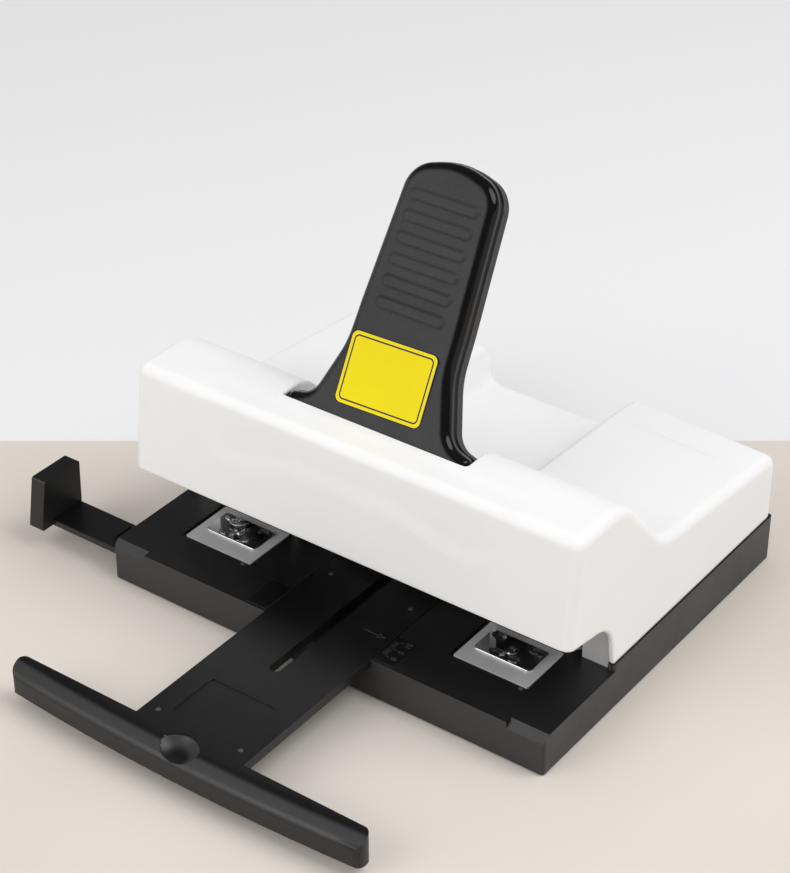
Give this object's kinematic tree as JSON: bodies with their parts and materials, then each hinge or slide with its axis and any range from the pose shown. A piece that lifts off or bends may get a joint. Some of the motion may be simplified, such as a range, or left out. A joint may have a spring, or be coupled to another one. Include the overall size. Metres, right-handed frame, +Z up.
{
  "type": "double-headed stapler",
  "caption": "Desk stapler with two staple heads side by side, driven together by one palm lever; sliding depth and side paper gauges and turnable anvils.",
  "frame": {"origin": "centre of the base's footprint on the desk, on the underside of the rubber sole", "axes": "+X to the right along the width as seen from the paper side, +Y from the paper side to the back, +Z up"},
  "size_m": [0.2574, 0.2689, 0.1861],
  "materials": {
    "black_shell": "satin, fine grain",
    "white_shell": "satin",
    "gloss_black": "gloss",
    "grip_grey": "fine spark texture",
    "yellow_label": "printed film",
    "sole_rubber": "matt",
    "satin_steel": "zinc plated, satin",
    "bright_steel": "bright",
    "mirror_chrome": "mirror",
    "brass": "turned",
    "dark_plastic": "satin"
  },
  "bodies": {
    "base": {"base_pan": "black_shell", "bottom_plate": "satin_steel", "rubber_sole": "sole_rubber", "base_screws": "bright_steel", "frame_plate_left": "satin_steel", "frame_plate_right": "satin_steel", "frame_spacers": "bright_steel", "frame_screws": "bright_steel", "side_frame_left": "satin_steel", "side_frame_right": "satin_steel", "guide_posts": "bright_steel", "top_cover": "white_shell", "cover_screws": "bright_steel", "anvil_seat_left": "satin_steel", "anvil_seat_right": "satin_steel", "anvil_rivets": "bright_steel", "hinge_bracket_left": "satin_steel", "hinge_bracket_right": "satin_steel", "hinge_pins": "bright_steel", "shaft_bushes": "brass", "depth_scale": "black_shell", "blank_plate": "black_shell", "gauge_guide_screw": "bright_steel", "return_spring_left": "bright_steel", "return_spring_right": "bright_steel", "lift_spring_left": "bright_steel", "lift_spring_right": "bright_steel"},
    "lever": {"lever_front": "gloss_black", "lever_back": "gloss_black", "grip_face": "grip_grey", "lever_core": "satin_steel", "lever_screws": "bright_steel", "label_sticker": "yellow_label", "lever_shaft": "bright_steel", "cam_left": "satin_steel", "cam_right": "satin_steel", "shaft_clips": "bright_steel"},
    "press": {"press_bar": "satin_steel", "post_bushes": "brass", "driver_left": "satin_steel", "driver_right": "satin_steel", "driver_screws": "bright_steel"},
    "magazine_l": {"magazine_left": "satin_steel", "nose_left": "satin_steel", "staple_rail_left": "satin_steel", "pusher_springs_left": "bright_steel"},
    "magazine_r": {"magazine_right": "satin_steel", "nose_right": "satin_steel", "staple_rail_right": "satin_steel", "pusher_springs_right": "bright_steel"},
    "pusher_l": {"pusher_left": "dark_plastic", "pusher_rod_left": "dark_plastic"},
    "pusher_r": {"pusher_right": "dark_plastic", "pusher_rod_right": "dark_plastic"},
    "anvil_l": {"anvil_left": "mirror_chrome"},
    "anvil_r": {"anvil_right": "mirror_chrome"},
    "depth_gauge": {"depth_gauge": "black_shell"},
    "side_gauge": {"side_gauge": "black_shell"}
  },
  "joints": [
    {"name": "lever_swing", "type": "hinge", "parent": "base", "child": "lever", "pos_m": [0, -0.05453, 0.072], "axis": [-1, 0, 0], "range_deg": [0, 60]},
    {"name": "press_slide", "type": "slide", "parent": "base", "child": "press", "axis": [0, 0, -1], "range_m": [0, 0.0194], "stiffness_N_per_m": 1200, "springref_m": -0.02, "deforming": ["return_spring_left", "return_spring_right"]},
    {"name": "magazine_l_tip", "type": "hinge", "parent": "base", "child": "magazine_l", "pos_m": [-0.0677, 0.07, 0.0265], "axis": [1, 0, 0], "range_deg": [0, 5.61], "deforming": ["lift_spring_left"]},
    {"name": "magazine_r_tip", "type": "hinge", "parent": "base", "child": "magazine_r", "pos_m": [0.0677, 0.07, 0.0265], "axis": [1, 0, 0], "range_deg": [0, 5.61], "deforming": ["lift_spring_right"]},
    {"name": "pusher_l_pull", "type": "slide", "parent": "magazine_l", "child": "pusher_l", "axis": [0, 0.9952, -0.0977], "range_m": [0, 0.075], "stiffness_N_per_m": 60, "springref_m": -0.02},
    {"name": "pusher_r_pull", "type": "slide", "parent": "magazine_r", "child": "pusher_r", "axis": [0, 0.9952, -0.0977], "range_m": [0, 0.075], "stiffness_N_per_m": 60, "springref_m": -0.02},
    {"name": "anvil_l_turn", "type": "hinge", "parent": "base", "child": "anvil_l", "pos_m": [-0.0677, -0.05095, 0.019], "axis": [0, 0, 1], "range_deg": [0, 180]},
    {"name": "anvil_r_turn", "type": "hinge", "parent": "base", "child": "anvil_r", "pos_m": [0.0677, -0.05095, 0.019], "axis": [0, 0, 1], "range_deg": [0, 180]},
    {"name": "depth_gauge_slide", "type": "slide", "parent": "base", "child": "depth_gauge", "axis": [0, 1, 0], "range_m": [-0.0086, 0.0745]},
    {"name": "side_gauge_slide", "type": "slide", "parent": "base", "child": "side_gauge", "axis": [1, 0, 0], "range_m": [-0.02, 0.036]}
  ],
  "couplings": [
    {"joint": "press_slide", "follows": "lever_swing", "m_per_rad": 0.0185},
    {"joint": "magazine_l_tip", "follows": "lever_swing", "ratio": 0.093454},
    {"joint": "magazine_r_tip", "follows": "lever_swing", "ratio": 0.093454}
  ]
}
